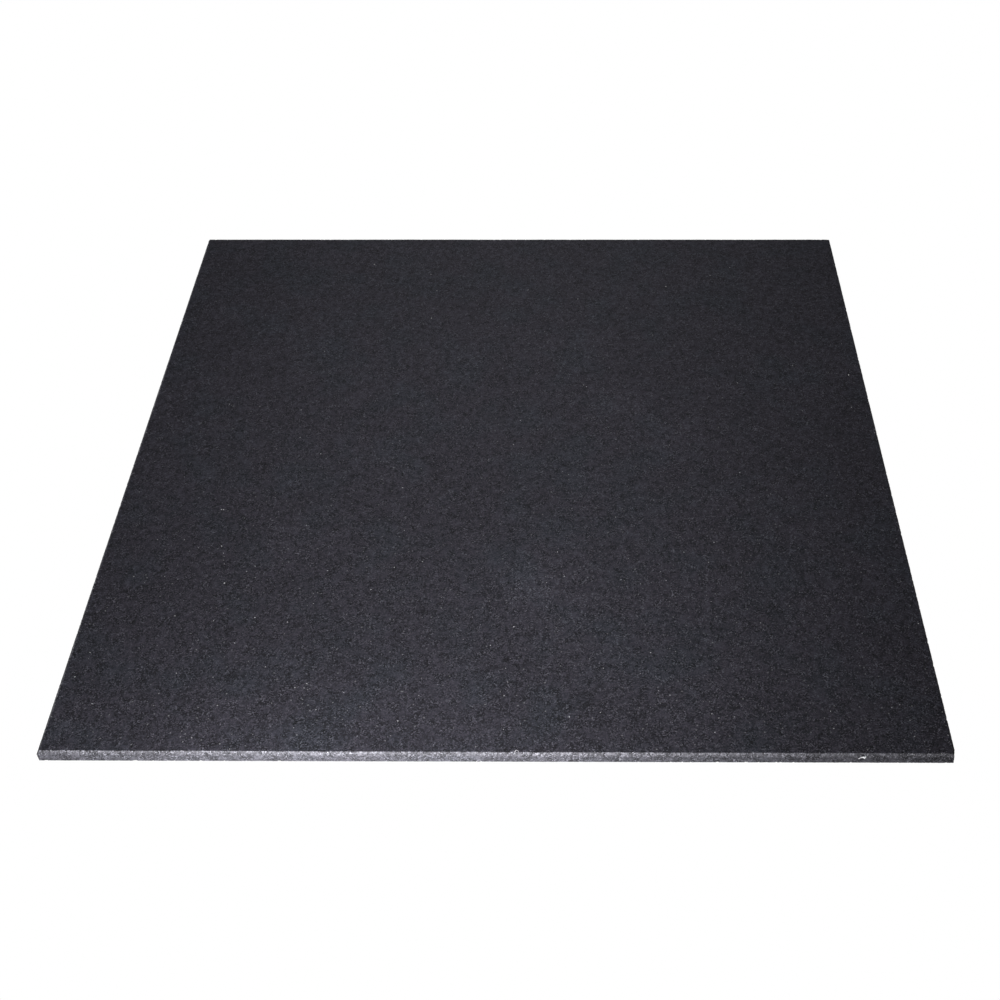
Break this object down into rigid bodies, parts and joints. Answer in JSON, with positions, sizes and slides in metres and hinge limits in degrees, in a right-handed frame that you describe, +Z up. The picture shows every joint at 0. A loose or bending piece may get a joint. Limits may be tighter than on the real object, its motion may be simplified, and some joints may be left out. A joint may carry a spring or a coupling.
{
  "type": "rubber gym floor tile",
  "caption": "Square slab of bonded rubber crumb for gym floors, with a bevelled upper edge and upright sides that butt against the next tile.",
  "frame": {"origin": "middle of the underside, on the floor", "axes": "+Z up out of the top face, +X along the width, +Y along the length, away from the picture's camera"},
  "size_m": [1, 1, 0.015],
  "materials": {
    "crumb_rubber": "matte"
  },
  "bodies": {
    "root": {"rubber_slab": "crumb_rubber"}
  },
  "joints": []
}
